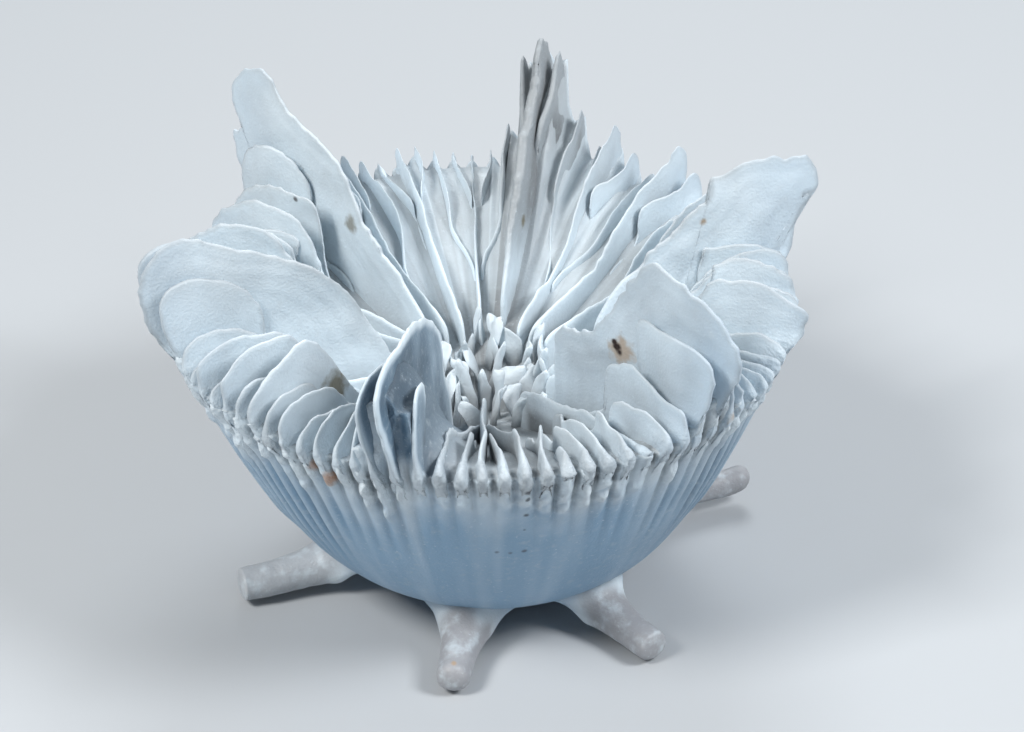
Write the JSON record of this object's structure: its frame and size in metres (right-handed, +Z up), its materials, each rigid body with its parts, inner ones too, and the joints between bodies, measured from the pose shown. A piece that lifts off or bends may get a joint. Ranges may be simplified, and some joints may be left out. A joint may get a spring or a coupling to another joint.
{
  "type": "solitary cup coral",
  "caption": "Free-living cup coral skeleton: a bowl of thin radial septa with tall lancets round its rim, a twisted columella in the middle and blunt spines round its base to rest on.",
  "frame": {"origin": "middle of the flat scar under the base, on the surface the coral rests on", "axes": "+Z up out of the calice; -Y towards the viewer of the picture, +X to the viewer's right"},
  "size_m": [0.0396, 0.0395, 0.0266],
  "materials": {
    "aragonite": "matte white aragonite with a cool blue tint, slightly translucent at thin edges"
  },
  "bodies": {
    "root": {"corallum": "aragonite"}
  },
  "joints": []
}
